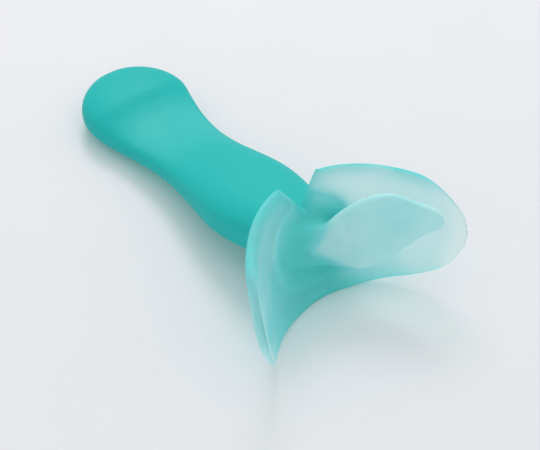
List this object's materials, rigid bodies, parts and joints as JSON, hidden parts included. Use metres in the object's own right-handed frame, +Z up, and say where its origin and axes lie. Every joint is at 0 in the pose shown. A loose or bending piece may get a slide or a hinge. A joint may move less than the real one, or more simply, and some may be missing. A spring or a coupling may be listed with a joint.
{
  "type": "cheek retractor",
  "caption": "Paddle-handled dental cheek retractor: notched curved shield with two flexible wings and a leaf-shaped inner blade, moulded in frosted silicone.",
  "frame": {"origin": "on the table, under the middle of the object's length, on its mid plane", "axes": "+X from the thumb end to the head, +Y to the side that carries the inner blade, +Z up"},
  "size_m": [0.0916, 0.049, 0.0255],
  "materials": {
    "silicone_thick": "frosted translucent turquoise silicone, saturated where it is thick, satin surface",
    "silicone_thin": "the same silicone where it is about 2 mm thin: pale, frosted, see-through"
  },
  "bodies": {
    "grip": {"thumb_rest": "silicone_thick", "handle_shank": "silicone_thick", "handle_shoulder": "silicone_thick", "neck": "silicone_thick", "shield_centre": "silicone_thin", "blade_stem": "silicone_thin", "blade_root": "silicone_thin"},
    "right_wing": {"right_wing": "silicone_thin"},
    "left_wing": {"left_wing": "silicone_thin"},
    "inner_blade": {"inner_blade": "silicone_thin"}
  },
  "joints": [
    {"name": "right_wing_flex", "type": "hinge", "parent": "grip", "child": "right_wing", "pos_m": [0.03307, 0.01, 0], "axis": [0.3261, 0, -0.9453], "range_deg": [-15, 3], "stiffness_Nm_per_rad": 0.06},
    {"name": "left_wing_flex", "type": "hinge", "parent": "grip", "child": "left_wing", "pos_m": [0.03307, -0.01, 0], "axis": [-0.3261, 0, 0.9453], "range_deg": [-15, 12], "stiffness_Nm_per_rad": 0.06},
    {"name": "blade_flex", "type": "hinge", "parent": "grip", "child": "inner_blade", "pos_m": [0.03585, 0.0056, 0], "axis": [0.3261, 0, -0.9453], "range_deg": [-2.5, 12], "stiffness_Nm_per_rad": 0.03}
  ]
}
